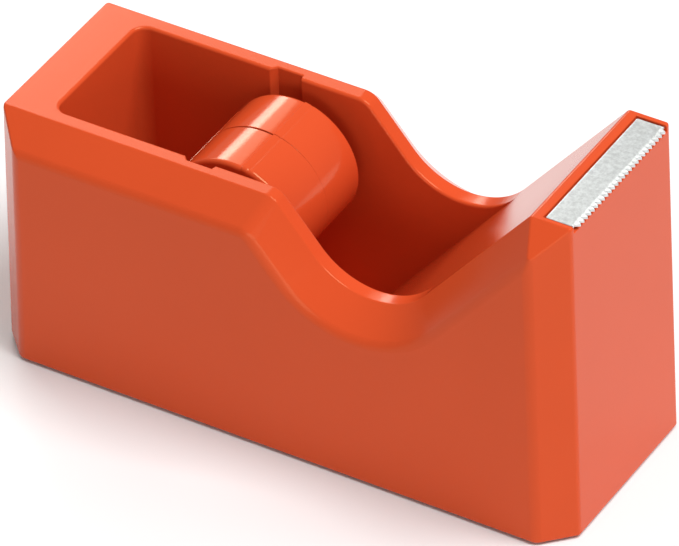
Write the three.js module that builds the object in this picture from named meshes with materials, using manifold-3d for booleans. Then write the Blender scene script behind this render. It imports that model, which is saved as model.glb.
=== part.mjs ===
// Desktop tape dispenser: faceted one-piece body, drop-in two-part hub on a steel pin,
// serrated cutter blade, steel ballast inside and a screwed base plate on four rubber feet.
// Millimetres, +Z up, +X towards the cutter, +Y towards the far side, resting on z = 0.

import * as THREE from 'three';
import { mergeVertices } from 'three/addons/utils/BufferGeometryUtils.js';
import Module from 'manifold-3d';

const wasm = await Module();
wasm.setup();

// ---------------------------------------------------------------- driving dimensions

const GAP = 0.3;                      // clearance left between neighbouring parts
const DEG = Math.PI / 180;
const OVER = 30;                      // how far cutting tools run past the surface they cut

const body = {
  bottom: 0.5,                        // the shell's lower edge hangs just above the desk
  halfLength: 57.5,                   // front and rear faces, at the bottom
  faceHalf: 17.1,                     // half width of the front and rear faces, bottom
  chamfer: 5.47,                      // vertical corner chamfers, seen from above
  endDraft: 1.2 * DEG,                // the front and rear faces lean in going up
  sideDraft: 0.36 * DEG,
  rimZ: 51.0,                         // top of the tape bay
  platformZ: 65.8,                    // top of the cutter platform
  bendX: -2.05,                       // where the rim starts to dip
  crestX: 48.34,                      // rear edge of the cutter platform
  dipAngle: -50.5 * DEG,
  rampAngle: 50.1 * DEG,
  valleyRadius: 14.3,
  bendRadius: 3.5,
  crestRadius: 0.8,
  facetRun: 5.6,                      // the side facet goes this far out ...
  facetDrop: 5.2,                     // ... and this far down from the rim
  wall: 2.4,
  crownWall: 4.0,                     // thickness under the rim, ramp and platform
};

const bay = {
  halfWidth: 13.9,
  rearX: -47.8,
  floorZ: 7.6,
  cornerRadius: 2.5,
  wall: 2.2,
};

const hub = {
  x: -14.3,
  z: 37.05,
  radius: 12.65,
  relief: 0.25,                       // two sectors sit this much below the grip pads
  reliefStarts: [80 * DEG, 260 * DEG],
  reliefSpan: 74 * DEG,
  halfLength: 10.9,
  edgeBevel: 0.5,
  shell: 1.65,
  bossHalf: 13.3,                     // side bosses keep the hub central in the bay
  bossRadius: 3.6,
  sleeveReach: 5,
  sleeveWall: 1.3,
};

const pin = { radius: 1.5, halfLength: 14.7, bevel: 0.3 };

const slot = {
  floorHalf: 15.0,                    // half distance between the two slot floors
  mouthRear: -20.2,
  mouthFront: -15.35,
  mouthDepthZ: 44,
  rearFlare: 1.1,                     // the slot's edges open out towards the bay
  frontFlare: 0.35,
  clearance: 0.25,
  liftTilt: 16.3 * DEG,               // the pin leaves upwards and to the rear
};

const blade = {
  rearX: 50.55,
  tipX: 56.6,
  halfLength: 15.55,
  thickness: 0.6,
  teeth: 26,
  pitch: 1.15,
  toothDepth: 0.85,
  sink: 0.1,                          // the blade face sits this far below the platform
};
const bond = { thickness: 0.3, gap: 0.15, inset: 1.0 };

const plate = { bottom: 1.0, top: 3.4 };
const foot = { radius: 4.6, top: 1.8, bevel: 0.4, x: 38, y: 12 };
const screw = {
  headRadius: 2.2, headBottom: 1.1, headTop: 2.0,
  shankRadius: 1.1, tip: 11,
  recessReach: 1.2, recessWidth: 0.5, recessDepth: 0.5,
};
const boss = { radius: 3.0, top: 14, pilotRadius: 1.4, pilotTop: 12, rib: 1.2 };
const ballast = {
  frontX: [8, 44], frontTop: 42, frontHalf: 18.2, rampClear: 7.1,
  sideX: [-46, 6], sideTop: 29, sideY: [16.5, 19.5],
  floorX: [-44, -6], floorHalf: 13, floorThick: 1.4,
  padThick: 0.8,
};

const screwPlaces = {
  front_near: [49.5, -12],
  front_far: [49.5, 12],
  rear_near: [-52.55, -9],
  rear_far: [-52.55, 9],
};
const footPlaces = {
  front_near: [foot.x, -foot.y],
  front_far: [foot.x, foot.y],
  rear_near: [-foot.x, -foot.y],
  rear_far: [-foot.x, foot.y],
};

// ---------------------------------------------------------------- solid helpers

// Welds a closed geometry into a solid and turns it outside out if its faces point in.
function toSolid(geometry) {
  const bare = geometry.clone();
  bare.deleteAttribute('normal');
  bare.deleteAttribute('uv');
  const welded = mergeVertices(bare, 1e-4);
  const vertProperties = new Float32Array(welded.attributes.position.array);
  const triVerts = new Uint32Array(welded.index.array);
  const solid = new wasm.Manifold(new wasm.Mesh({ numProp: 3, vertProperties, triVerts }));
  if (solid.volume() > 0) return solid;
  for (let i = 0; i < triVerts.length; i += 3) {
    [triVerts[i], triVerts[i + 1]] = [triVerts[i + 1], triVerts[i]];
  }
  return new wasm.Manifold(new wasm.Mesh({ numProp: 3, vertProperties, triVerts }));
}

function toGeometry(solid) {
  const mesh = solid.getMesh();
  const geometry = new THREE.BufferGeometry();
  geometry.setAttribute('position', new THREE.BufferAttribute(mesh.vertProperties, 3));
  geometry.setIndex(new THREE.BufferAttribute(mesh.triVerts, 1));
  const faceted = geometry.toNonIndexed();
  faceted.computeVertexNormals();
  return faceted;
}

function extrude(outline, depth) {
  const shape = new THREE.Shape(outline.map(([u, v]) => new THREE.Vector2(u, v)));
  return new THREE.ExtrudeGeometry(shape, { depth, bevelEnabled: false });
}

// An X-Y outline raised from zStart to zEnd.
function raise(outline, zStart, zEnd) {
  const geometry = extrude(outline, zEnd - zStart);
  geometry.translate(0, 0, zStart);
  return toSolid(geometry);
}

// An X-Z outline drawn across from yStart to yEnd.
function across(outline, yStart, yEnd) {
  const geometry = extrude(outline, yEnd - yStart);
  geometry.rotateX(Math.PI / 2);
  geometry.translate(0, yEnd, 0);
  return toSolid(geometry);
}

function box(x, y, z) {
  const geometry = new THREE.BoxGeometry(x[1] - x[0], y[1] - y[0], z[1] - z[0]);
  geometry.translate((x[0] + x[1]) / 2, (y[0] + y[1]) / 2, (z[0] + z[1]) / 2);
  return toSolid(geometry);
}

function post(radius, x, y, z, sides = 32) {
  const geometry = new THREE.CylinderGeometry(radius, radius, z[1] - z[0], sides);
  geometry.rotateX(Math.PI / 2);
  geometry.translate(x, y, (z[0] + z[1]) / 2);
  return toSolid(geometry);
}

// A closed [radius, height] outline turned about the Y axis.
function turned(outline, sides) {
  const points = outline.map(([r, y]) => new THREE.Vector2(r, y));
  return toSolid(new THREE.LatheGeometry(points, sides));
}

// Rings of points with the same count, joined side to side and closed by end caps.
function loft(rings) {
  const count = rings[0].length;
  const positions = rings.flat().flatMap((p) => [p.x, p.y, p.z]);
  const flatRing = rings[0].map((p) => new THREE.Vector2(p.u, p.v));
  const cap = THREE.ShapeUtils.triangulateShape(flatRing, []);
  const lastStart = (rings.length - 1) * count;
  const index = [];
  const clockwise = THREE.ShapeUtils.isClockWise(flatRing);
  for (const triangle of cap) {
    const [a, b, c] = clockwise ? triangle.reverse() : triangle;
    index.push(a, c, b);
    index.push(lastStart + a, lastStart + b, lastStart + c);
  }
  for (let ring = 0; ring < rings.length - 1; ring += 1) {
    for (let i = 0; i < count; i += 1) {
      const next = (i + 1) % count;
      const a = ring * count + i;
      const b = ring * count + next;
      index.push(a, b, b + count);
      index.push(a, b + count, a + count);
    }
  }
  const geometry = new THREE.BufferGeometry();
  geometry.setAttribute('position', new THREE.Float32BufferAttribute(positions, 3));
  geometry.setIndex(index);
  return toSolid(geometry);
}

// ---------------------------------------------------------------- side profile of the body

const direction = (angle) => new THREE.Vector2(Math.cos(angle), Math.sin(angle));
const leftOf = (v) => new THREE.Vector2(-v.y, v.x);

// Arc tangent to line A and then line B; each line is { point, along }.
function fillet(lineA, lineB, radius, steps) {
  const cross = lineA.along.cross(lineB.along);
  const between = lineB.point.clone().sub(lineA.point);
  const corner = lineA.point.clone().addScaledVector(lineA.along, between.cross(lineB.along) / cross);
  const turn = Math.atan2(cross, lineA.along.dot(lineB.along));
  const tangent = radius * Math.tan(Math.abs(turn) / 2);
  const start = corner.clone().addScaledVector(lineA.along, -tangent);
  const centre = start.clone().addScaledVector(leftOf(lineA.along), radius * Math.sign(turn));
  const arm = start.clone().sub(centre);
  const points = [];
  for (let i = 0; i <= steps; i += 1) {
    points.push(arm.clone().rotateAround(new THREE.Vector2(), (turn * i) / steps).add(centre));
  }
  return points;
}

// The body's upper edge from the rear to the front, sunk by a depth into the body.
function profileLines(depth) {
  const lines = {
    rim: { point: new THREE.Vector2(body.bendX, body.rimZ), along: direction(0) },
    dip: { point: new THREE.Vector2(body.bendX, body.rimZ), along: direction(body.dipAngle) },
    ramp: { point: new THREE.Vector2(body.crestX, body.platformZ), along: direction(body.rampAngle) },
    platform: { point: new THREE.Vector2(body.crestX, body.platformZ), along: direction(0) },
  };
  for (const line of Object.values(lines)) {
    line.point.addScaledVector(leftOf(line.along), -depth);
  }
  return lines;
}

function profile(depth) {
  const { rim, dip, ramp, platform } = profileLines(depth);
  const reach = body.halfLength + OVER;
  return [
    new THREE.Vector2(-reach, rim.point.y),
    ...fillet(rim, dip, body.bendRadius, 6),
    ...fillet(dip, ramp, body.valleyRadius + depth, 18),
    ...fillet(ramp, platform, body.crestRadius, 3),
    new THREE.Vector2(reach, platform.point.y),
    new THREE.Vector2(reach, -OVER),
    new THREE.Vector2(-reach, -OVER),
  ];
}

// Half width of the front and rear faces at a height.
const faceHalfAt = (z) => body.faceHalf - Math.tan(body.sideDraft) * (z - body.bottom);

// Everything below the upper edge and inside the two side facets.
function crown(depth, widen) {
  const spread = 1.6;
  const rim = profile(depth);
  const skirt = profile(depth + body.facetDrop * spread);
  const ring = (points, side, run) => points.map((p, i) => ({
    x: p.x,
    y: side * (faceHalfAt(Math.max(rim[i].y, 0)) + widen + run),
    z: p.y,
    u: skirt[i].x,
    v: skirt[i].y,
  }));
  const run = body.facetRun * spread;
  return loft([ring(skirt, -1, run), ring(rim, -1, 0), ring(rim, 1, 0), ring(skirt, 1, run)]);
}

// Drafted block with chamfered corners, drawn in from the outside by an inset.
function chamferedBlock(inset, zStart, zEnd) {
  const ring = (z) => {
    const rise = z - body.bottom;
    const shift = inset * Math.tan(22.5 * DEG);
    const lean = Math.tan(body.sideDraft) * rise;
    const x = body.halfLength - Math.tan(body.endDraft) * rise;
    const face = body.faceHalf - lean - shift;
    const side = body.faceHalf + body.facetRun - lean - inset;
    const cut = x - body.chamfer - shift;
    const end = x - inset;
    const quarter = [[cut, -side], [end, -face], [end, face], [cut, side]];
    const mirrored = quarter.map(([px, py]) => [-px, -py]);
    return [...quarter, ...mirrored].map(([px, py]) => ({ x: px, y: py, z, u: px, v: py }));
  };
  return loft([ring(zStart), ring(zEnd)]);
}

// ---------------------------------------------------------------- tape bay and hub slots

function rampAt(z, depth = 0) {
  const { ramp } = profileLines(depth);
  return ramp.point.x + (z - ramp.point.y) / Math.tan(body.rampAngle);
}

// Space swept by the tape bay, grown outwards by a wall thickness.
function bayBlock(grow) {
  const { dip, ramp } = profileLines(0);
  const rampStart = fillet(dip, ramp, body.valleyRadius, 1)[1];
  const front = rampStart.x + grow / 2;
  const floor = bay.floorZ - grow;
  const rear = bay.rearX - grow;
  const top = body.platformZ + OVER;
  const sunk = profileLines(grow).ramp;
  const frontZ = sunk.point.y + (front - sunk.point.x) * Math.tan(body.rampAngle);
  const side = [
    [rear, top], [rear, floor], [rampAt(floor, grow), floor], [front, frontZ], [front, top],
  ];
  const half = bay.halfWidth + grow;
  const radius = bay.cornerRadius + grow;
  const plan = [[front + OVER, -half], [front + OVER, half]];
  for (const [sign, start] of [[1, 90], [-1, 180]]) {
    for (let i = 0; i <= 5; i += 1) {
      const angle = (start + (90 * i) / 5) * DEG;
      plan.push([
        rear + radius + radius * Math.cos(angle),
        sign * (half - radius) + radius * Math.sin(angle),
      ]);
    }
  }
  return across(side, -half, half).intersect(raise(plan, floor - 1, top));
}

// Outline of one hub slot: a wide mouth that narrows into a tilted channel and a round seat.
function slotOutline(rearFlare, frontFlare) {
  const radius = pin.radius + slot.clearance;
  const lift = direction(90 * DEG + slot.liftTilt);
  const side = leftOf(lift);
  const along = (offset, distance) => [
    hub.x + side.x * offset + lift.x * distance,
    hub.z + side.y * offset + lift.y * distance,
  ];
  const front = slot.mouthFront + frontFlare;
  const rear = slot.mouthRear - rearFlare;
  const reach = (along(-radius - frontFlare, 0)[0] - front) / Math.sin(slot.liftTilt);
  const outline = [
    [rear, body.rimZ + 5],
    [rear, slot.mouthDepthZ],
    along(radius + rearFlare, 3.2),
  ];
  for (let i = 0; i <= 12; i += 1) {
    const angle = Math.PI + slot.liftTilt + (Math.PI * i) / 12;
    const spread = radius + rearFlare + ((frontFlare - rearFlare) * i) / 12;
    outline.push([hub.x + spread * Math.cos(angle), hub.z + spread * Math.sin(angle)]);
  }
  outline.push(along(-radius - frontFlare, reach), [front, body.rimZ + 5]);
  return outline;
}

function slotCut(side) {
  const ring = (outline, y) => outline.map(([x, z]) => ({ x, y: side * y, z, u: x, v: z }));
  const open = slotOutline(slot.rearFlare, slot.frontFlare);
  return loft([
    ring(open, bay.halfWidth - 1),
    ring(open, bay.halfWidth),
    ring(slotOutline(0, 0), slot.floorHalf),
  ]);
}

// ---------------------------------------------------------------- body shell

function bladeSeat() {
  const y = blade.halfLength + GAP;
  const depth = blade.sink + blade.thickness + bond.thickness + 2 * bond.gap;
  return box(
    [blade.rearX - GAP, body.halfLength + OVER], [-y, y],
    [body.platformZ - depth, body.platformZ + OVER],
  );
}

function screwBosses() {
  const bottom = plate.top + GAP;
  return Object.values(screwPlaces).map(([x, y]) => {
    const column = post(boss.radius, x, y, [bottom, boss.top]);
    if (x < 0) return column;
    const rib = box([x, body.halfLength - 1.5], [y - boss.rib / 2, y + boss.rib / 2], [bottom, boss.top]);
    return column.add(rib);
  });
}

function makeBodyShell() {
  const top = body.platformZ + OVER;
  const outside = chamferedBlock(0, body.bottom, top).intersect(crown(0, 0));
  const inside = chamferedBlock(body.wall, body.bottom - OVER / 2, top)
    .intersect(crown(body.crownWall, 1.2));
  let hollow = inside.subtract(bayBlock(bay.wall));
  for (const column of screwBosses()) hollow = hollow.subtract(column);
  let shell = outside.subtract(hollow).subtract(bayBlock(0)).subtract(bladeSeat());
  for (const side of [-1, 1]) shell = shell.subtract(slotCut(side));
  for (const [x, y] of Object.values(screwPlaces)) {
    shell = shell.subtract(post(boss.pilotRadius, x, y, [plate.top - 1, boss.pilotTop], 20));
  }
  return shell;
}

// ---------------------------------------------------------------- hub and pin

// One hub half from the middle of the hub outwards along +Y.
function hubHalf(withSleeve) {
  const inner = hub.radius - hub.shell;
  const bore = pin.radius + GAP;
  const seam = GAP / 2;
  const endWall = hub.halfLength - hub.shell;
  const outline = [
    [bore, seam],
    [bore, hub.bossHalf],
    [hub.bossRadius, hub.bossHalf],
    [hub.bossRadius, hub.halfLength],
    [hub.radius - hub.edgeBevel, hub.halfLength],
    [hub.radius, hub.halfLength - hub.edgeBevel],
    [hub.radius, seam],
  ];
  if (withSleeve) {
    const sleeveOuter = inner - GAP;
    const sleeveInner = sleeveOuter - hub.sleeveWall;
    outline.push(
      [sleeveOuter, seam],
      [sleeveOuter, -hub.sleeveReach],
      [sleeveInner, -hub.sleeveReach],
      [sleeveInner, hub.sleeveReach - 1],
      [inner, hub.sleeveReach],
    );
  } else {
    outline.push([inner, seam]);
  }
  outline.push([inner, endWall], [hub.bossRadius, endWall], [hub.bossRadius, seam], [bore, seam]);
  return turned(outline, 72);
}

// The two sectors of the barrel that lie below the grip pads.
function reliefCuts() {
  return hub.reliefStarts.map((start) => {
    const outline = [];
    const steps = 14;
    for (let i = 0; i <= steps; i += 1) {
      const angle = start + (hub.reliefSpan * i) / steps;
      const r = hub.radius - hub.relief;
      outline.push([r * Math.cos(angle), r * Math.sin(angle)]);
    }
    for (let i = steps; i >= 0; i -= 1) {
      const angle = start + (hub.reliefSpan * i) / steps;
      const r = hub.radius + 2;
      outline.push([r * Math.cos(angle), r * Math.sin(angle)]);
    }
    return across(outline, -OVER, OVER);
  });
}

function makeHubHalf(side) {
  let half = hubHalf(side < 0);
  if (side < 0) half = half.mirror([0, 1, 0]);
  for (const cut of reliefCuts()) half = half.subtract(cut);
  return half;
}

function makePin() {
  const { radius, halfLength, bevel } = pin;
  return turned([
    [0, -halfLength],
    [radius - bevel, -halfLength],
    [radius, -halfLength + bevel],
    [radius, halfLength - bevel],
    [radius - bevel, halfLength],
    [0, halfLength],
  ], 32);
}

// ---------------------------------------------------------------- cutter

function makeBlade() {
  const { rearX, tipX, halfLength, teeth, pitch, toothDepth, thickness, sink } = blade;
  const root = tipX - toothDepth;
  const firstTooth = (-teeth * pitch) / 2;
  const outline = [[rearX, halfLength], [rearX, -halfLength], [root, -halfLength], [root, firstTooth]];
  for (let i = 0; i < teeth; i += 1) {
    const start = firstTooth + i * pitch;
    outline.push([tipX, start + pitch / 2], [root, start + pitch]);
  }
  outline.push([root, halfLength]);
  const top = body.platformZ - sink;
  return raise(outline, top - thickness, top);
}

function makeBladeBond() {
  const top = body.platformZ - blade.sink - blade.thickness - bond.gap;
  const y = blade.halfLength - bond.inset;
  const front = body.halfLength - Math.tan(body.endDraft) * body.platformZ - bond.inset;
  return box([blade.rearX + bond.inset, front], [-y, y], [top - bond.thickness, top]);
}

// ---------------------------------------------------------------- base, feet and screws

function makeBasePlate() {
  let base = chamferedBlock(body.wall + GAP, plate.bottom, plate.top);
  const counterbore = screw.headTop + GAP;
  for (const [x, y] of Object.values(screwPlaces)) {
    base = base.subtract(post(screw.headRadius + GAP, x, y, [0, counterbore], 24));
    base = base.subtract(post(screw.shankRadius + GAP, x, y, [0, plate.top + 1], 24));
  }
  for (const [x, y] of Object.values(footPlaces)) {
    base = base.subtract(post(foot.radius + GAP, x, y, [0, foot.top + GAP], 36));
  }
  return base;
}

function makeFoot() {
  const { radius, top, bevel } = foot;
  const geometry = new THREE.LatheGeometry([
    new THREE.Vector2(0, 0),
    new THREE.Vector2(radius - bevel, 0),
    new THREE.Vector2(radius, bevel),
    new THREE.Vector2(radius, top),
    new THREE.Vector2(0, top),
  ], 36);
  geometry.rotateX(Math.PI / 2);
  return toSolid(geometry);
}

function makeScrew() {
  const { headRadius, headBottom, headTop, shankRadius, tip } = screw;
  const geometry = new THREE.LatheGeometry([
    new THREE.Vector2(0, headBottom),
    new THREE.Vector2(headRadius - 0.3, headBottom),
    new THREE.Vector2(headRadius, headBottom + 0.3),
    new THREE.Vector2(headRadius, headTop),
    new THREE.Vector2(shankRadius, headTop),
    new THREE.Vector2(shankRadius, tip - 1.2),
    new THREE.Vector2(0.2, tip),
    new THREE.Vector2(0, tip),
  ], 24);
  geometry.rotateX(Math.PI / 2);
  const { recessReach, recessWidth, recessDepth } = screw;
  const long = [-recessReach, recessReach];
  const short = [-recessWidth / 2, recessWidth / 2];
  const deep = [headBottom - 1, headBottom + recessDepth];
  return toSolid(geometry).subtract(box(long, short, deep)).subtract(box(short, long, deep));
}

// ---------------------------------------------------------------- ballast

function makeFrontBallast() {
  const [rear, front] = ballast.frontX;
  const bottom = plate.top + ballast.padThick + 2 * GAP;
  const rampZ = (x) => body.platformZ - (body.crestX - x) * Math.tan(body.rampAngle) - ballast.rampClear;
  const shoulder = rear + (ballast.frontTop - rampZ(rear)) / Math.tan(body.rampAngle);
  const outline = [
    [rear, bottom], [front, bottom], [front, ballast.frontTop], [shoulder, ballast.frontTop],
    [rear, rampZ(rear)],
  ];
  return across(outline, -ballast.frontHalf, ballast.frontHalf);
}

function makeFoamPad() {
  const [rear, front] = ballast.frontX;
  const bottom = plate.top + GAP;
  const y = ballast.frontHalf - 1;
  return box([rear + 1, front - 1], [-y, y], [bottom, bottom + ballast.padThick]);
}

function makeSideBallast(side) {
  const [inner, outer] = ballast.sideY;
  const y = side > 0 ? [inner, outer] : [-outer, -inner];
  return box(ballast.sideX, y, [plate.top + GAP, ballast.sideTop]);
}

function makeFloorBallast() {
  const bottom = plate.top + GAP;
  const y = ballast.floorHalf;
  return box(ballast.floorX, [-y, y], [bottom, bottom + ballast.floorThick]);
}

// ---------------------------------------------------------------- assembly

const group = new THREE.Group();
group.name = 'tape_dispenser';

const finishes = {
  shell: { color: '#d9481f', roughness: 0.34, metalness: 0 },
  hub: { color: '#dd4a20', roughness: 0.3, metalness: 0 },
  base: { color: '#b93c1c', roughness: 0.5, metalness: 0 },
  blade: { color: '#d5d7d4', roughness: 0.32, metalness: 1 },
  pin: { color: '#b9bbbd', roughness: 0.25, metalness: 1 },
  screw: { color: '#8f9194', roughness: 0.35, metalness: 1 },
  ballast: { color: '#5b5d60', roughness: 0.55, metalness: 1 },
  rubber: { color: '#1d1d1e', roughness: 0.85, metalness: 0 },
  foam: { color: '#2c2c2e', roughness: 0.95, metalness: 0 },
  tape: { color: '#e7e3d8', roughness: 0.6, metalness: 0 },
};

function place(name, solid, finish, position = [0, 0, 0]) {
  const mesh = new THREE.Mesh(toGeometry(solid), new THREE.MeshStandardMaterial(finish));
  mesh.name = name;
  mesh.position.set(...position);
  group.add(mesh);
}

place('body_shell', makeBodyShell(), finishes.shell);
place('cutter_blade', makeBlade(), finishes.blade);
place('blade_bond_strip', makeBladeBond(), finishes.tape);

const hubPlace = [hub.x, 0, hub.z];
place('hub_half_near', makeHubHalf(-1), finishes.hub, hubPlace);
place('hub_half_far', makeHubHalf(1), finishes.hub, hubPlace);
place('hub_pin', makePin(), finishes.pin, hubPlace);

place('base_plate', makeBasePlate(), finishes.base);
for (const [name, [x, y]] of Object.entries(footPlaces)) {
  place(`foot_${name}`, makeFoot(), finishes.rubber, [x, y, 0]);
}
for (const [name, [x, y]] of Object.entries(screwPlaces)) {
  place(`base_screw_${name}`, makeScrew(), finishes.screw, [x, y, 0]);
}

place('ballast_front_block', makeFrontBallast(), finishes.ballast);
place('ballast_foam_pad', makeFoamPad(), finishes.foam);
place('ballast_side_near', makeSideBallast(-1), finishes.ballast);
place('ballast_side_far', makeSideBallast(1), finishes.ballast);
place('ballast_floor_plate', makeFloorBallast(), finishes.ballast);

export default group;
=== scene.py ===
"""Looks of the desktop tape dispenser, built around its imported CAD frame.

The body shell, hub, pin, blade, feet and screws are rebuilt here with rounded edges and fine
detail; the hidden ballast, the foam, the adhesive strip and the base plate keep their CAD shape.
Shapes are drawn in millimetres and turned into metres when their mesh is made.
"""
import math
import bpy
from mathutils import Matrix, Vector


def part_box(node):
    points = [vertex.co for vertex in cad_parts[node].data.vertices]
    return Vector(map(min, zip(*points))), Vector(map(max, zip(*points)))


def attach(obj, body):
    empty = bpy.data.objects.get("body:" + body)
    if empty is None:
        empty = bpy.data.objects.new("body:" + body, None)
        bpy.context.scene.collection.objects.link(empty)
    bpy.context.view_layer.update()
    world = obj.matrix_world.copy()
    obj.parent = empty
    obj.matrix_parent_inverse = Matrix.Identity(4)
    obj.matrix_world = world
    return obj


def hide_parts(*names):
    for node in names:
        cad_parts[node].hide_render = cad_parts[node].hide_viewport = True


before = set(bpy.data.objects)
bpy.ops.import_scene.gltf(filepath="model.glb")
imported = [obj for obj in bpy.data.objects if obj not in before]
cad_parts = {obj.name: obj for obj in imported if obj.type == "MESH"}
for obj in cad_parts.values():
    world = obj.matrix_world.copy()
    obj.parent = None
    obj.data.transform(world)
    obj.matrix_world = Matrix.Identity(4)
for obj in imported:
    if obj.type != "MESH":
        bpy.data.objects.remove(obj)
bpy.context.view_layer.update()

from types import SimpleNamespace as Group

import bmesh
import bpy
from mathutils import Matrix, Vector

# ---------------------------------------------------------------- driving dimensions (mm)

MM = 0.001
OVER = 30                                # how far cutting tools run past what they cut
NEAR = 0.05                              # how close counts as touching
AXIS_RADIUS = 0.05                       # turned solids start and end this close to their axis
SHARP = math.radians(24)                 # edges that bend more than this are rounded

BODY = Group(
    bottom=0.5, half_length=57.5, face_half=17.1, chamfer=5.47,
    end_draft=math.radians(1.2), side_draft=math.radians(0.36),
    rim_z=51.0, platform_z=65.8, bend_x=-2.05, crest_x=48.34,
    dip_angle=math.radians(-50.5), ramp_angle=math.radians(50.1),
    valley_radius=14.3, bend_radius=3.5,
    facet_run=5.6, facet_drop=5.2, wall=2.4, crown_wall=4.0, crown_widen=1.2,
)
BODY.top_z = BODY.platform_z + OVER      # where tools end that cut through the top
BAY = Group(half_width=13.9, rear_x=-47.8, floor_z=7.6, corner_radius=2.5, wall=2.2)
SLOT = Group(
    floor_half=15.0, mouth_rear=-20.2, mouth_front=-15.35, mouth_depth_z=44, top_z=56,
    rear_flare=1.1, front_flare=0.35, clearance=0.25, lift_tilt=math.radians(16.3),
    neck_height=3.2, reach=8,
)
SEAT = Group(rear_x=50.25, half_length=15.85, depth=1.3)
BOSS = Group(
    radius=3.0, bottom=3.7, top=14, pilot_radius=1.4, pilot_bottom=2.4, pilot_top=12,
    rib=1.2, rib_end_x=56.0,
)
RADII = Group(
    shoulder=3.0, side_chamfer=3.0, end_chamfer=1.4, facet_chamfer=0.6,
    rim=0.45, crest=0.9, bay_rim=0.6, slot=0.35, seat=0.12,
    lowest_wall=0.4, share_of_wall=0.3,
)

BLADE = Group(
    teeth=26, pitch=1.15, tooth_depth=0.85, flat=0.04, corner=0.2, broken_edge=0.06,
    bent_width=1.2, bent_rise=0.14, border=0.3, border_drop=0.02,
)
FOOT = Group(cup_depth=0.35, cup_radius=2.6, lip_radius=3.0)
SCREW = Group(
    dome=((AXIS_RADIUS, 0), (1.0, 0.02), (1.6, 0.14), (2.0, 0.4), (2.2, 0.72)),
    head_bottom=2.15, head_height=0.9, core=0.8, shank=1.1, pitch=0.9, tip=1.5, blunt_tip=0.12,
    recess=1.2, slot=0.5, recess_depth=0.5, sides=32, steps=120,
)
HUB = Group(                             # angles in degrees from straight ahead, upwards
    relief=0.25, relief_starts=(80, 260), relief_span=74,
    crease_from_edge=6.5, crease_width=4, crease_depth=0.08,
    shell=1.65, boss_half=13.3, boss_radius=3.6, sleeve_reach=5, sleeve_wall=1.3, sleeve_gap=0.3,
    edge_radius=0.8, bore_gap=0.3, half_length=10.9,
    seam=0.15, closed_seam=0.012, half_open_seam=0.05, seam_fade=40,
)
PIN_END = Group(centre_depth=0.35, centre_radius=0.5, round=0.35)


def box_mm(node):
    """Lowest and highest corner of a CAD node in millimetres."""
    low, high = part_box(node)
    return low / MM, high / MM


pin_low, pin_high = box_mm("hub_pin")
HUB.x = (pin_low.x + pin_high.x) / 2
HUB.z = (pin_low.z + pin_high.z) / 2
PIN = Group(radius=(pin_high.z - pin_low.z) / 2, half_length=pin_high.y)
hub_low, hub_high = box_mm("hub_half_far")
HUB.radius = (hub_high.x - hub_low.x) / 2

# ---------------------------------------------------------------- camera

CAMERA = Group(
    azimuth=math.radians(31.956), elevation=math.radians(38.251), roll=math.radians(-1.822),
    distance=1.39498, aim=Vector((0.0003, 0, 0.02383)), lens=428.2, sensor=36.0,
)


def make_camera():
    """The photo's camera, fitted to the body's corner points together with its shape."""
    data = bpy.data.cameras.new("camera")
    data.lens = CAMERA.lens
    data.sensor_width = CAMERA.sensor
    data.clip_end = 10
    azimuth, elevation = CAMERA.azimuth, CAMERA.elevation
    back = Vector((
        math.sin(azimuth) * math.cos(elevation),
        -math.cos(azimuth) * math.cos(elevation),
        math.sin(elevation),
    ))
    level = Vector((math.cos(azimuth), math.sin(azimuth), 0))
    upright = back.cross(level)
    right = math.cos(CAMERA.roll) * level + math.sin(CAMERA.roll) * upright
    up = math.cos(CAMERA.roll) * upright - math.sin(CAMERA.roll) * level
    matrix = Matrix((right, up, back)).transposed().to_4x4()
    matrix.translation = CAMERA.aim + back * CAMERA.distance
    camera = bpy.data.objects.new("camera", data)
    camera.matrix_world = matrix
    bpy.context.scene.collection.objects.link(camera)
    bpy.context.scene.camera = camera


make_camera()

# ---------------------------------------------------------------- mesh helpers


def new_object(name, bm):
    """An object in metres from a bmesh drawn in millimetres."""
    bmesh.ops.recalc_face_normals(bm, faces=bm.faces)
    mesh = bpy.data.meshes.new(name)
    bm.to_mesh(mesh)
    bm.free()
    mesh.transform(Matrix.Scale(MM, 4))
    made = bpy.data.objects.new(name, mesh)
    bpy.context.scene.collection.objects.link(made)
    return made


def loft(rings, closed_loop=False, triangulate=False):
    """Rings with the same count of points, joined side to side, with end caps or in a closed loop."""
    bm = bmesh.new()
    rows = [[bm.verts.new(point) for point in ring] for ring in rings]
    count = len(rows[0])
    pairs = list(zip(rows, rows[1:]))
    if closed_loop:
        pairs.append((rows[-1], rows[0]))
    for low, high in pairs:
        for i in range(count):
            j = (i + 1) % count
            bm.faces.new((low[i], low[j], high[j], high[i]))
    if not closed_loop:
        bm.faces.new(reversed(rows[0]))
        bm.faces.new(rows[-1])
    if triangulate:
        bmesh.ops.triangulate(bm, faces=bm.faces)
    return bm


def box(x, y, z, name="box"):
    """A block from its (low, high) along each axis."""
    corners = [(x[0], y[0]), (x[1], y[0]), (x[1], y[1]), (x[0], y[1])]
    return new_object(name, loft([[(u, v, height) for u, v in corners] for height in z]))


def circle(radius, x, y, z, sides):
    turns = [2 * math.pi * i / sides for i in range(sides)]
    return [(x + radius * math.cos(turn), y + radius * math.sin(turn), z) for turn in turns]


def post(radius, x, y, z, sides=48):
    """An upright cylinder from its centre and its (low, high) z."""
    return new_object("post", loft([circle(radius, x, y, height, sides) for height in z]))


def apply_modifiers(piece):
    bpy.context.view_layer.update()
    depsgraph = bpy.context.evaluated_depsgraph_get()
    mesh = bpy.data.meshes.new_from_object(piece.evaluated_get(depsgraph))
    piece.modifiers.clear()
    piece.data = mesh


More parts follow.
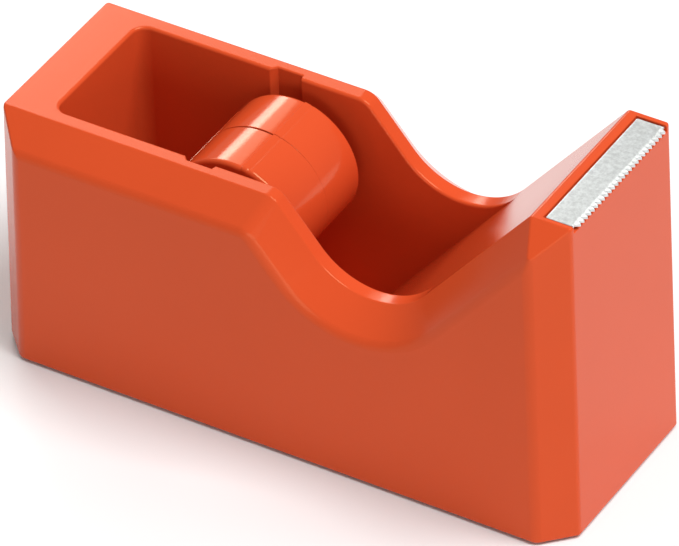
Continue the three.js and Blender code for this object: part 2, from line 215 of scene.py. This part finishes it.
def combine(piece, tool, operation):
    """Cuts, joins or intersects a piece with a tool, which is used up."""
    boolean = piece.modifiers.new("boolean", "BOOLEAN")
    boolean.operation = operation
    boolean.solver = "EXACT"
    boolean.object = tool
    apply_modifiers(piece)
    bpy.data.objects.remove(tool)


def merge_flat_faces(piece, weld=0.0002 * MM, angle=math.radians(0.05)):
    """Welds near points and joins neighbouring faces that lie in one plane."""
    bm = bmesh.new()
    bm.from_mesh(piece.data)
    bmesh.ops.remove_doubles(bm, verts=bm.verts, dist=weld)
    bmesh.ops.dissolve_limit(bm, angle_limit=angle, verts=bm.verts, edges=bm.edges)
    bm.to_mesh(piece.data)
    bm.free()


def round_edges(piece, radius_of, segments=5):
    """Rounds each convex edge with the radius in millimetres that radius_of(edge) gives."""
    bm = bmesh.new()
    bm.from_mesh(piece.data)
    offsets = []
    for edge in bm.edges:
        sharp = len(edge.link_faces) == 2 and edge.is_convex and edge.calc_face_angle() > SHARP
        radius = radius_of(edge) if sharp else 0
        offsets.append(radius * math.tan(edge.calc_face_angle() / 2) if radius else 0)
    bm.free()
    widest = max(offsets)
    weights = piece.data.attributes.new("bevel_weight_edge", "FLOAT", "EDGE")
    weights.data.foreach_set("value", [offset / widest for offset in offsets])
    bevel = piece.modifiers.new("round", "BEVEL")
    bevel.limit_method = "WEIGHT"
    bevel.width = widest * MM
    bevel.segments = segments
    bevel.use_clamp_overlap = False
    apply_modifiers(piece)
    piece.data.attributes.remove(piece.data.attributes["bevel_weight_edge"])


def smooth(piece, sharp_from=math.radians(32)):
    """Smooth shading that keeps flat faces flat and real corners sharp."""
    piece.data.shade_smooth()
    piece.data.set_sharp_from_angle(angle=sharp_from)
    weighted = piece.modifiers.new("flat_faces", "WEIGHTED_NORMAL")
    weighted.keep_sharp = True


# ---------------------------------------------------------------- outlines


def direction(angle):
    return Vector((math.cos(angle), math.sin(angle)))


def left_of(vector):
    return Vector((-vector.y, vector.x))


def arc(centre, arm, turn, steps):
    """Points round a centre, from the end of the arm through the whole turn."""
    return [centre + Matrix.Rotation(turn * i / steps, 2) @ arm for i in range(steps + 1)]


def fillet(line_a, line_b, radius, steps):
    """Arc tangent to line A and then line B; each line is (point, direction)."""
    (point_a, along_a), (point_b, along_b) = line_a, line_b
    cross = along_a.cross(along_b)
    corner = point_a + along_a * ((point_b - point_a).cross(along_b) / cross)
    turn = math.atan2(cross, along_a.dot(along_b))
    start = corner - along_a * (radius * math.tan(abs(turn) / 2))
    centre = start + left_of(along_a) * math.copysign(radius, turn)
    return arc(centre, start - centre, turn, steps)


def rounded(corners, steps=5):
    """A closed outline from corners given as (u, v, radius), where a radius of 0 stays sharp."""
    points = []
    count = len(corners)
    for i, (u, v, radius) in enumerate(corners):
        here = Vector((u, v))
        before = Vector(corners[i - 1][:2])
        after = Vector(corners[(i + 1) % count][:2])
        if radius == 0:
            points.append(here)
            continue
        lines = (before, (here - before).normalized()), (here, (after - here).normalized())
        points += fillet(*lines, radius, steps)
    return points


def profile_lines(depth):
    """The four straight stretches of the body's upper edge, sunk by a depth into the body."""
    bend = Vector((BODY.bend_x, BODY.rim_z))
    crest = Vector((BODY.crest_x, BODY.platform_z))
    starts = [(bend, 0), (bend, BODY.dip_angle), (crest, BODY.ramp_angle), (crest, 0)]
    lines = []
    for point, angle in starts:
        along = direction(angle)
        lines.append((point - left_of(along) * depth, along))
    return lines


def profile(depth):
    """The side view of the body, from the rear along the upper edge to the front and back below."""
    rim, dip, ramp, platform = profile_lines(depth)
    reach = BODY.half_length + OVER
    crest = Vector((BODY.crest_x, BODY.platform_z))
    crest += Vector((math.tan(BODY.ramp_angle / 2), -1)) * depth
    return [
        Vector((-reach, rim[0].y)),
        *fillet(rim, dip, BODY.bend_radius, 14),
        *fillet(dip, ramp, BODY.valley_radius + depth, 48),
        crest,
        Vector((reach, platform[0].y)),
        Vector((reach, -OVER)),
        Vector((-reach, -OVER)),
    ]


def face_half_at(z):
    """Half the width of the flat end faces at a height."""
    return BODY.face_half - math.tan(BODY.side_draft) * (z - BODY.bottom)


def crown(depth, widen):
    """Everything below the upper edge and inside the two side facets, which run past the sides."""
    overshoot = 1.6
    rim = profile(depth)
    skirt = profile(depth + BODY.facet_drop * overshoot)

    def ring(points, side, run):
        return [
            (point.x, side * (face_half_at(max(top.y, 0)) + widen + run), point.y)
            for point, top in zip(points, rim)
        ]

    run = BODY.facet_run * overshoot
    rings = [ring(skirt, -1, run), ring(rim, -1, 0), ring(rim, 1, 0), ring(skirt, 1, run)]
    return new_object("crown", loft(rings, triangulate=True))


def chamfered_block(inset, z_start, z_end):
    """Drafted block with chamfered upright corners, drawn in from the outside by an inset."""

    def ring(z):
        rise = z - BODY.bottom
        shift = inset * math.tan(math.pi / 8)
        lean = math.tan(BODY.side_draft) * rise
        x = BODY.half_length - math.tan(BODY.end_draft) * rise
        face = BODY.face_half - lean - shift
        side = BODY.face_half + BODY.facet_run - lean - inset
        cut = x - BODY.chamfer - shift
        end = x - inset
        half = [(cut, -side), (end, -face), (end, face), (cut, side)]
        return [(u, v, z) for u, v in half + [(-u, -v) for u, v in half]]

    return new_object("block", loft([ring(z_start), ring(z_end)]))


def ramp_x(z, depth):
    """Where the ramp, sunk by a depth, reaches a height."""
    point, along = profile_lines(depth)[2]
    return point.x + (z - point.y) * along.x / along.y


def ramp_z(x, depth=0):
    """The height of the ramp, sunk by a depth, at a place along the body."""
    point, along = profile_lines(depth)[2]
    return point.y + (x - point.x) * along.y / along.x


def ramp_start():
    """The point where the valley's curve runs out into the ramp."""
    _, dip, ramp, _ = profile_lines(0)
    return fillet(dip, ramp, BODY.valley_radius, 1)[1]


def bay_block(grow):
    """Space swept by the tape bay, grown outwards by a wall thickness."""
    front = ramp_start().x + grow / 2
    floor = BAY.floor_z - grow
    rear = BAY.rear_x - grow
    half = BAY.half_width + grow
    side = [(rear, BODY.top_z), (rear, floor), (ramp_x(floor, grow), floor),
            (front, ramp_z(front, grow)), (front, BODY.top_z)]
    wedge = new_object("bay", loft([[(x, y, z) for x, z in side] for y in (-half, half)]))
    radius = BAY.corner_radius + grow
    plan = rounded([(front + OVER, -half, 0), (front + OVER, half, 0),
                    (rear, half, radius), (rear, -half, radius)], steps=10)
    heights = (floor - 1, BODY.top_z)
    tower = new_object("tower", loft([[(*point, z) for point in plan] for z in heights]))
    combine(wedge, tower, "INTERSECT")
    return wedge


def slot_outline(rear_flare, front_flare):
    """One hub slot: a wide mouth that narrows into a tilted channel and a round seat."""
    radius = PIN.radius + SLOT.clearance
    seat = Vector((HUB.x, HUB.z))
    lift = direction(math.pi / 2 + SLOT.lift_tilt)
    side = left_of(lift)
    front = SLOT.mouth_front + front_flare
    rear = SLOT.mouth_rear - rear_flare
    front_wall = seat - side * (radius + front_flare)
    channel = (front_wall.x - front) / math.sin(SLOT.lift_tilt)
    steps = 24
    outline = [
        Vector((rear, SLOT.top_z)),
        Vector((rear, SLOT.mouth_depth_z)),
        seat + side * (radius + rear_flare) + lift * SLOT.neck_height,
    ]
    for i in range(steps + 1):
        arm = radius + rear_flare + (front_flare - rear_flare) * i / steps
        outline.append(seat + direction(math.pi + SLOT.lift_tilt + math.pi * i / steps) * arm)
    outline += [front_wall + lift * channel, Vector((front, SLOT.top_z))]
    return outline


def slot_cut(side):
    """One slot with flared flanks, cut from just inside the bay into the wall on one side."""
    wide = slot_outline(SLOT.rear_flare, SLOT.front_flare)
    narrow = slot_outline(0, 0)
    places = [(wide, BAY.half_width - 1), (wide, BAY.half_width), (narrow, SLOT.floor_half)]
    rings = [[(point.x, side * y, point.y) for point in outline] for outline, y in places]
    return new_object("slot", loft(rings, triangulate=True))


# ---------------------------------------------------------------- body shell


def is_facet(face):
    """Whether a face is part of the slanted facets along the upper edge of the sides."""
    least_y, most_y, least_z = 0.5, 0.85, 0.3
    return least_y < abs(face.normal.y) < most_y and face.normal.z > least_z


def outer_radius(edge):
    """Rounding of an outer edge of the plain block, from the faces that meet along it."""
    upright_z, sideways_y = 0.1, 0.9
    upright = [face.normal for face in edge.link_faces if abs(face.normal.z) < upright_z]
    facets = sum(is_facet(face) for face in edge.link_faces)
    is_side = any(abs(normal.y) > sideways_y for normal in upright)
    if facets and upright:
        return RADII.shoulder if is_side else RADII.facet_chamfer
    if len(upright) == 2:
        return RADII.side_chamfer if is_side else RADII.end_chamfer
    if facets == 2 or not facets and not upright:
        return RADII.crest
    return RADII.rim


def cut_radius(edge):
    """Rounding of an edge that the bay, a slot or the blade seat has cut; 0 for all other edges."""
    x, y, z = (edge.verts[0].co + edge.verts[1].co) / 2 / MM
    if abs(y) > SEAT.half_length + NEAR or z < BAY.floor_z + 1:
        return 0
    if x > SEAT.rear_x - NEAR:
        return RADII.seat if z > BODY.platform_z - SEAT.depth - NEAR else 0
    below_rim = z < BODY.rim_z - 2 * NEAR
    if abs(y) > BAY.half_width + NEAR or abs(x - HUB.x) < SLOT.reach and below_rim:
        return RADII.slot
    if BODY.bend_x < x < ramp_start().x:
        wall_height = z - ramp_z(x)
        is_low = wall_height <= RADII.lowest_wall
        return 0 if is_low else min(RADII.bay_rim, RADII.share_of_wall * wall_height)
    return RADII.bay_rim


def make_outer_form():
    """The outside of the body, with the bay, the blade seat and the hub slots."""
    shell = chamfered_block(0, BODY.bottom, BODY.top_z)
    combine(shell, crown(0, 0), "INTERSECT")
    merge_flat_faces(shell, weld=0.1 * MM)
    round_edges(shell, outer_radius)
    combine(shell, bay_block(0), "DIFFERENCE")
    seat = box((SEAT.rear_x, BODY.half_length + OVER), (-SEAT.half_length, SEAT.half_length),
               (BODY.platform_z - SEAT.depth, BODY.top_z))
    combine(shell, seat, "DIFFERENCE")
    for side in (-1, 1):
        combine(shell, slot_cut(side), "DIFFERENCE")
    merge_flat_faces(shell)
    round_edges(shell, cut_radius, segments=3)
    return shell


def make_hollow(screws):
    """The space inside the body, open below, less the walls of the bay and the screw bosses."""
    hollow = chamfered_block(BODY.wall, BODY.bottom - OVER / 2, BODY.top_z)
    combine(hollow, crown(BODY.crown_wall, BODY.crown_widen), "INTERSECT")
    combine(hollow, bay_block(BAY.wall), "DIFFERENCE")
    for x, y in screws:
        combine(hollow, post(BOSS.radius, x, y, (BOSS.bottom, BOSS.top)), "DIFFERENCE")
        if x > 0:
            rib = box((x, BOSS.rib_end_x), (y - BOSS.rib / 2, y + BOSS.rib / 2),
                      (BOSS.bottom, BOSS.top))
            combine(hollow, rib, "DIFFERENCE")
    return hollow


def screw_places():
    nodes = [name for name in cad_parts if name.startswith("base_screw_")]
    middles = [sum(box_mm(name), Vector()) / 2 for name in sorted(nodes)]
    return [(middle.x, middle.y) for middle in middles]


def make_shell():
    screws = screw_places()
    shell = make_outer_form()
    combine(shell, make_hollow(screws), "DIFFERENCE")
    for x, y in screws:
        pilot_hole = post(BOSS.pilot_radius, x, y, (BOSS.pilot_bottom, BOSS.pilot_top), sides=32)
        combine(shell, pilot_hole, "DIFFERENCE")
    merge_flat_faces(shell, angle=math.radians(0.02))
    shell.name = "moulded_shell"
    smooth(shell)
    return shell


# ---------------------------------------------------------------- hub and pin


def in_relief(angle):
    return any(0 < (angle - start) % 360 < HUB.relief_span for start in HUB.relief_starts)


def barrel_radius(angle):
    """Outer radius at an angle: two grip pads, each with a soft crease, and two relieved sectors."""
    if in_relief(angle):
        return HUB.radius - HUB.relief
    off_crease = min(abs((start - angle) % 360 - HUB.crease_from_edge) for start in HUB.relief_starts)
    return HUB.radius - HUB.crease_depth * max(0, 1 - 2 * off_crease / HUB.crease_width)


def seam_at(angle):
    """Half the gap between the hub halves: open in the relieved sectors, closing along each pad."""
    if in_relief(angle):
        return HUB.seam
    to_edge = min((start - angle) % 360 for start in HUB.relief_starts)
    fade = max(0, 1 - to_edge / HUB.seam_fade)
    return HUB.closed_seam + (HUB.half_open_seam - HUB.closed_seam) * fade


def hub_angles():
    """Angles round the barrel, closer together at the creases and where a sector starts or ends."""
    step, clear, half_riser = 2.5, 1.2, 0.35
    angles = {step * i for i in range(round(360 / step))}
    for start in HUB.relief_starts:
        for edge in (start, start + HUB.relief_span):
            angles -= {angle for angle in angles if abs(angle - edge) < clear}
            angles |= {edge - clear, edge - half_riser, edge + half_riser, edge + clear}
        crease = start - HUB.crease_from_edge
        angles |= {crease + i * HUB.crease_width / 6 for i in range(-3, 4)}
    return sorted(angles)


def half_profile(angle, with_sleeve):
    """Section of one hub half as (distance from the axis, distance from the middle).

    Each corner ends with the radius that rounds it.
    """
    radius = barrel_radius(angle)
    seam = seam_at(angle)
    inner = HUB.radius - HUB.shell
    bore = PIN.radius + HUB.bore_gap
    end_wall = HUB.half_length - HUB.shell
    corners = [
        (bore, HUB.seam, 0.1), (bore, HUB.boss_half, 0.15), (HUB.boss_radius, HUB.boss_half, 0.3),
        (HUB.boss_radius, HUB.half_length, 0.4), (radius, HUB.half_length, HUB.edge_radius),
        (radius, seam, seam * 0.8),
    ]
    if with_sleeve:
        outer = inner - HUB.sleeve_gap
        thin = outer - HUB.sleeve_wall
        corners += [
            (outer, seam, 0.1), (outer, -HUB.sleeve_reach, 0.3), (thin, -HUB.sleeve_reach, 0.3),
            (thin, HUB.sleeve_reach - 1, 0.3), (inner, HUB.sleeve_reach, 0.3),
        ]
    else:
        corners.append((inner, seam, 0.1))
    corners += [(inner, end_wall, 0.6), (HUB.boss_radius, end_wall, 0.6)]
    corners.append((HUB.boss_radius, HUB.seam, 0.1))
    return rounded(corners, steps=4)


def make_hub_half(side, name):
    """One half of the barrel; the half on the near side, -1, has the sleeve that joins the two."""
    rings = []
    for angle in hub_angles():
        turn = math.radians(angle)
        section = half_profile(angle, with_sleeve=side < 0)
        rings.append([
            (HUB.x + point.x * math.cos(turn), side * point.y, HUB.z + point.x * math.sin(turn))
            for point in section
        ])
    half = new_object(name, loft(rings, closed_loop=True))
    smooth(half, math.radians(40))
    return half


def turned(name, outline, place, axis, sides=64):
    """A solid turned about the Y or Z axis from (radius, height) points."""
    rings = []
    for radius, height in outline:
        ring = circle(radius, 0, 0, height, sides)
        if axis == "Y":
            ring = [(x, z, -y) for x, y, z in ring]
        rings.append([Vector(point) + Vector(place) for point in ring])
    piece = new_object(name, loft(rings))
    smooth(piece)
    return piece


def make_pin():
    """Steel pin with rounded ends and a turning centre in each end face."""
    end = -PIN.half_length
    corners = [(AXIS_RADIUS, end + PIN_END.centre_depth, 0), (PIN_END.centre_radius, end, 0.1),
               (PIN.radius, end, PIN_END.round), (PIN.radius, 0, 0)]
    half = [(radius, height) for radius, height in rounded(corners)[:-1]]    # without the middle
    outline = half + [(radius, -height) for radius, height in reversed(half)]
    return turned("hub_pin_steel", outline, (HUB.x, 0, HUB.z), "Y")


# ---------------------------------------------------------------- cutter


def blade_outline(low, high, inset):
    """Plan of the blade, with each edge drawn in by an inset."""
    tip = high.x - inset
    root = high.x - BLADE.tooth_depth - inset
    rear, end = low.x + inset, high.y - inset
    corner = BLADE.corner
    first = -BLADE.teeth * BLADE.pitch / 2
    points = [(root, end), (rear + corner, end), (rear, end - corner),
              (rear, corner - end), (rear + corner, -end), (root, -end), (root, first)]
    for i in range(BLADE.teeth):
        start = first + i * BLADE.pitch
        peak = start + BLADE.pitch / 2
        points += [(tip, peak - BLADE.flat), (tip, peak + BLADE.flat), (root, start + BLADE.pitch)]
    return points


def make_blade():
    """Punched steel strip: saw-tooth front edge bent up a little, rims broken all round."""
    low, high = box_mm("cutter_blade")
    edge = BLADE.broken_edge
    bend_line = high.x - BLADE.bent_width
    face_z = high.z - BLADE.bent_rise

    def top(x):
        rise = BLADE.bent_rise * max(0, x - bend_line) / BLADE.bent_width
        return face_z - BLADE.border_drop + rise

    rings = [
        [(x, y, low.z) for x, y in blade_outline(low, high, edge)],
        [(x, y, low.z + edge) for x, y in blade_outline(low, high, 0)],
        [(x, y, top(x) - edge) for x, y in blade_outline(low, high, 0)],
        [(x, y, top(x)) for x, y in blade_outline(low, high, edge)],
        [(min(x, bend_line), y, face_z) for x, y in blade_outline(low, high, BLADE.border)],
    ]
    return new_object("cutter_strip", loft(rings))


# ---------------------------------------------------------------- feet and screws


def make_foot(node):
    """Moulded rubber foot with a shallow cup underneath."""
    low, high = box_mm(node)
    middle = (low + high) / 2
    radius, height = (high.x - low.x) / 2, high.z
    outline = rounded([
        (AXIS_RADIUS, FOOT.cup_depth, 0), (FOOT.cup_radius, FOOT.cup_depth, 0.2),
        (FOOT.lip_radius, 0, 0.2), (radius, 0, 0.5), (radius, height, 0.15), (AXIS_RADIUS, height, 0),
    ])
    return turned(node + "_rubber", outline, (middle.x, middle.y, 0), "Z")


def thread_radius(turn, height):
    """Radius of the shank with its ridge of thread, at a turn round the axis and a height."""
    steepness = 3.2
    phase = (height / SCREW.pitch - turn / (2 * math.pi)) % 1
    ridge = max(0, 1 - abs(phase - 0.5) * steepness)
    return SCREW.core + (SCREW.shank - SCREW.core) * ridge


def make_screw(node):
    """Self-tapping screw, head down: domed head with a cross recess, thread that tapers at the tip."""
    low, high = box_mm(node)
    middle = (low + high) / 2
    head = [*SCREW.dome, (SCREW.head_bottom, SCREW.head_height)]
    rings = [circle(radius, middle.x, middle.y, low.z + rise, SCREW.sides) for radius, rise in head]
    shank_z = low.z + SCREW.head_height
    for i in range(SCREW.steps + 1):
        z = shank_z + (high.z - shank_z) * i / SCREW.steps
        taper = min(1, (high.z - z) / SCREW.tip + SCREW.blunt_tip)
        ring = []
        for j in range(SCREW.sides):
            turn = 2 * math.pi * j / SCREW.sides
            radius = thread_radius(turn, z) * taper
            ring.append((middle.x + radius * math.cos(turn), middle.y + radius * math.sin(turn), z))
        rings.append(ring)
    screw = new_object(node + "_steel", loft(rings))
    long, short = (-SCREW.recess, SCREW.recess), (-SCREW.slot / 2, SCREW.slot / 2)
    for x, y in ((long, short), (short, long)):
        x = [middle.x + value for value in x]
        y = [middle.y + value for value in y]
        combine(screw, box(x, y, (low.z - 1, low.z + SCREW.recess_depth)), "DIFFERENCE")
    smooth(screw)
    return screw


# ---------------------------------------------------------------- materials


def new_material(name):
    """A new material with its node tree and its shader."""
    made = bpy.data.materials.new(name)
    made.use_nodes = True
    return made, made.node_tree, made.node_tree.nodes["Principled BSDF"]


def noise(tree, size, detail, stretch=(1, 1, 1), roughness=0.5):
    """Noise whose features are about that many millimetres in size, in the piece's own space."""
    place = tree.nodes.new("ShaderNodeTexCoord")
    scale = tree.nodes.new("ShaderNodeMapping")
    scale.inputs["Scale"].default_value = [factor / (size * MM) for factor in stretch]
    texture = tree.nodes.new("ShaderNodeTexNoise")
    texture.inputs["Scale"].default_value = 1
    texture.inputs["Detail"].default_value = detail
    texture.inputs["Roughness"].default_value = roughness
    tree.links.new(place.outputs["Object"], scale.inputs["Vector"])
    tree.links.new(scale.outputs["Vector"], texture.inputs["Vector"])
    return texture.outputs["Fac"]


def spread(tree, value, low, high):
    """Maps a noise value to the range from low to high."""
    node = tree.nodes.new("ShaderNodeMapRange")
    node.inputs["To Min"].default_value, node.inputs["To Max"].default_value = low, high
    node.interpolation_type = "SMOOTHSTEP"
    tree.links.new(value, node.inputs["Value"])
    return node.outputs["Result"]


def blend_colours(tree, value, dark, light, source=(0, 1)):
    """Goes from the dark to the light colour as the value runs through the source range."""
    ramp = tree.nodes.new("ShaderNodeValToRGB")
    ramp.color_ramp.interpolation = "EASE"
    ramp.color_ramp.elements[0].position, ramp.color_ramp.elements[1].position = source
    ramp.color_ramp.elements[0].color = (*dark, 1)
    ramp.color_ramp.elements[1].color = (*light, 1)
    tree.links.new(value, ramp.inputs["Fac"])
    return ramp.outputs["Color"]


def bump(tree, height, depth):
    """Surface relief of that many millimetres."""
    node = tree.nodes.new("ShaderNodeBump")
    node.inputs["Strength"].default_value = 1
    node.inputs["Distance"].default_value = depth * MM
    tree.links.new(height, node.inputs["Height"])
    return node.outputs["Normal"]


def shade(colour, factor):
    return tuple(channel * factor for channel in colour)


def plastic(name, colour, gloss=(0.17, 0.22), grain=0.0004, grain_size=0.35, specular=0.22):
    """Semi-gloss moulded plastic: slight flow marks in its colour, uneven gloss and a fine grain."""
    made, tree, shader = new_material(name)
    flow = noise(tree, size=38, detail=4)
    tones = blend_colours(tree, flow, shade(colour, 0.96), shade(colour, 1.04))
    tree.links.new(tones, shader.inputs["Base Color"])
    patches = noise(tree, size=30, detail=0)
    tree.links.new(spread(tree, patches, *gloss), shader.inputs["Roughness"])
    grains = noise(tree, grain_size, detail=2)
    tree.links.new(bump(tree, grains, grain), shader.inputs["Normal"])
    shader.inputs["Specular IOR Level"].default_value = specular
    shader.inputs["Specular Tint"].default_value = (1, 0.86, 0.5, 1)
    return made


def metal(name, colour, rough, scratch=0.003, patch_size=3.0):
    """Steel with drawn-out scratches and patches of tone and gloss, small where it is zinc-coated."""
    made, tree, shader = new_material(name)
    shader.inputs["Metallic"].default_value = 1
    patches = noise(tree, patch_size, detail=6, roughness=0.65)
    tones = blend_colours(tree, patches, shade(colour, 0.72), colour, (0.25, 0.75))
    tree.links.new(tones, shader.inputs["Base Color"])
    tree.links.new(spread(tree, patches, *rough), shader.inputs["Roughness"])
    lines = noise(tree, size=0.25, detail=3, stretch=(1, 0.04, 1))
    tree.links.new(bump(tree, lines, scratch), shader.inputs["Normal"])
    return made


def rubber(name, colour):
    """Matt rubber with a fine speckle, uneven gloss and a fine texture."""
    made, tree, shader = new_material(name)
    speckle = noise(tree, size=0.6, detail=5)
    tones = blend_colours(tree, speckle, shade(colour, 0.7), shade(colour, 1.3))
    tree.links.new(tones, shader.inputs["Base Color"])
    patches = noise(tree, size=2.5, detail=4)
    tree.links.new(spread(tree, patches, 0.7, 0.9), shader.inputs["Roughness"])
    texture = noise(tree, size=0.3, detail=3)
    tree.links.new(bump(tree, texture, 0.02), shader.inputs["Normal"])
    return made


def foam(name, colour):
    """Open-cell foam: pores sunk into it, with painted shade that darkens the colour in each pore."""
    pore_size = 0.7
    made, tree, shader = new_material(name)
    cells = tree.nodes.new("ShaderNodeTexVoronoi")
    cells.inputs["Scale"].default_value = 1 / (pore_size * MM)
    place = tree.nodes.new("ShaderNodeTexCoord")
    tree.links.new(place.outputs["Object"], cells.inputs["Vector"])
    pore_depth_and_shade = cells.outputs["Distance"]
    # painted shade: the colour is darkest in the middle of each pore, where the pore is deepest
    tones = blend_colours(tree, pore_depth_and_shade, shade(colour, 0.4), shade(colour, 1.4), (0.1, 0.6))
    tree.links.new(tones, shader.inputs["Base Color"])
    tree.links.new(bump(tree, pore_depth_and_shade, 0.15), shader.inputs["Normal"])
    shader.inputs["Roughness"].default_value = 0.95
    return made


def bond_tape(name, colour):
    """Adhesive strip with fibres that run along it."""
    made, tree, shader = new_material(name)
    fibres = noise(tree, size=1.2, detail=5, stretch=(1, 0.15, 1))
    tree.links.new(blend_colours(tree, fibres, shade(colour, 0.85), colour), shader.inputs["Base Color"])
    tree.links.new(spread(tree, fibres, 0.5, 0.75), shader.inputs["Roughness"])
    tree.links.new(bump(tree, fibres, 0.02), shader.inputs["Normal"])
    return made


def floor_finish(name, colour):
    """Matt, almost even floor."""
    made, tree, shader = new_material(name)
    tone = noise(tree, size=120, detail=3)
    tree.links.new(blend_colours(tree, tone, shade(colour, 0.99), colour), shader.inputs["Base Color"])
    tree.links.new(spread(tree, tone, 0.55, 0.65), shader.inputs["Roughness"])
    return made


CORAL = (0.64, 0.074, 0.02)
DULL_CORAL = shade(CORAL, 0.8)
FINISHES = {
    "shell": plastic("coral_plastic", CORAL),
    "hub": plastic("coral_hub_plastic", CORAL, gloss=(0.12, 0.16), specular=0.4),
    "base": plastic("coral_base_plastic", DULL_CORAL, gloss=(0.42, 0.55), grain=0.004, grain_size=0.5),
    "blade": metal("zinc_coated_steel", (0.84, 0.87, 0.87), rough=(0.34, 0.55), patch_size=0.7),
    "pin": metal("ground_steel", (0.56, 0.57, 0.58), rough=(0.15, 0.3)),
    "screw": metal("plated_screw_steel", (0.50, 0.51, 0.53), rough=(0.22, 0.38)),
    "ballast": metal("raw_steel", (0.26, 0.26, 0.27), rough=(0.4, 0.65), scratch=0.01),
    "foot": rubber("black_rubber", (0.012, 0.012, 0.013)),
    "foam": foam("black_foam", (0.02, 0.02, 0.022)),
    "bond_tape": bond_tape("adhesive_strip", (0.78, 0.75, 0.68)),
}


def finish_piece(piece, slot):
    piece.data.materials.clear()
    piece.data.materials.append(FINISHES[slot])


def add_piece(piece, node, body, slot):
    """A piece that stands for a CAD node, with its finish and the body that it moves with."""
    finish_piece(piece, slot)
    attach(piece, body)
    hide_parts(node)


def keep_node(name, slot, edge):
    """A CAD node that stays: merged flat faces, rounded edges and a finish of its own."""
    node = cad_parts[name]
    weld = node.modifiers.new("weld", "WELD")
    weld.merge_threshold = 0.0001 * MM
    flat = node.modifiers.new("flat", "DECIMATE")
    flat.decimate_type = "DISSOLVE"
    flat.angle_limit = math.radians(0.5)
    bevel = node.modifiers.new("round", "BEVEL")
    bevel.width = edge * MM
    bevel.segments = 3
    bevel.angle_limit = math.radians(30)
    bevel.use_clamp_overlap = False
    weighted = node.modifiers.new("flat_faces", "WEIGHTED_NORMAL")
    weighted.keep_sharp = True
    finish_piece(node, slot)


add_piece(make_shell(), "body_shell", "housing", "shell")
add_piece(make_blade(), "cutter_blade", "housing", "blade")
add_piece(make_hub_half(-1, "hub_barrel_near"), "hub_half_near", "hub", "hub")
add_piece(make_hub_half(1, "hub_barrel_far"), "hub_half_far", "hub", "hub")
add_piece(make_pin(), "hub_pin", "axle", "pin")
for node in sorted(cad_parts):
    if node.startswith("foot_"):
        add_piece(make_foot(node), node, "housing", "foot")
    if node.startswith("base_screw_"):
        add_piece(make_screw(node), node, "housing", "screw")
keep_node("base_plate", "base", 0.25)
keep_node("blade_bond_strip", "bond_tape", 0.05)
keep_node("ballast_foam_pad", "foam", 0.2)
for node in ("ballast_front_block", "ballast_side_near", "ballast_side_far", "ballast_floor_plate"):
    keep_node(node, "ballast", 0.4)

# ---------------------------------------------------------------- floor and light


def make_floor():
    reach, thickness = 3000, 20
    floor = box((-reach, reach), (-reach, reach), (-thickness, 0), name="floor")
    floor.data.materials.append(floor_finish("pale_floor", (0.86, 0.86, 0.86)))


def area_light(name, place, aim, size, power, colour=(1, 1, 1)):
    """A soft light at a place that faces its aim; metres and watts."""
    data = bpy.data.lights.new(name, "AREA")
    data.shape = "RECTANGLE"
    data.size, data.size_y = size
    data.energy = power
    data.color = colour
    light = bpy.data.objects.new(name, data)
    light.location = place
    light.rotation_mode = "QUATERNION"
    light.rotation_quaternion = (Vector(aim) - Vector(place)).to_track_quat("-Z", "Y")
    light.visible_camera = False
    bpy.context.scene.collection.objects.link(light)


def make_world(ambient, backdrop):
    """Even light all round; the backdrop beyond the floor looks brighter than it shines."""
    world = bpy.data.worlds.new("studio")
    bpy.context.scene.world = world
    world.use_nodes = True
    tree = world.node_tree
    background = tree.nodes["Background"]
    background.inputs["Color"].default_value = (1, 1, 1, 1)
    path = tree.nodes.new("ShaderNodeLightPath")
    seen = tree.nodes.new("ShaderNodeMapRange")
    seen.inputs["To Min"].default_value, seen.inputs["To Max"].default_value = ambient, backdrop
    tree.links.new(path.outputs["Is Camera Ray"], seen.inputs["Value"])
    tree.links.new(seen.outputs["Result"], background.inputs["Strength"])


make_floor()
make_world(ambient=0.27, backdrop=0.95)
area_light("softbox_key", place=(0.52, 0.04, 1.1), aim=(0, 0, 0.03), size=(0.7, 0.7), power=15.8)
area_light("softbox_front", place=(0.4, -1.1, 0.3), aim=(0, 0, 0.03), size=(0.8, 0.4), power=2.6)
area_light("softbox_rear", place=(-0.22, 0.18, 0.275), aim=(0, 0, 0.054), size=(0.24, 0.16),
           power=0.34, colour=(1, 0.98, 0.92))
area_light("strip_light", place=(-0.37, 0.4, 0.315), aim=(0, 0, 0.04), size=(0.11, 0.12), power=0.36)
bpy.context.scene.view_settings.view_transform = "Standard"
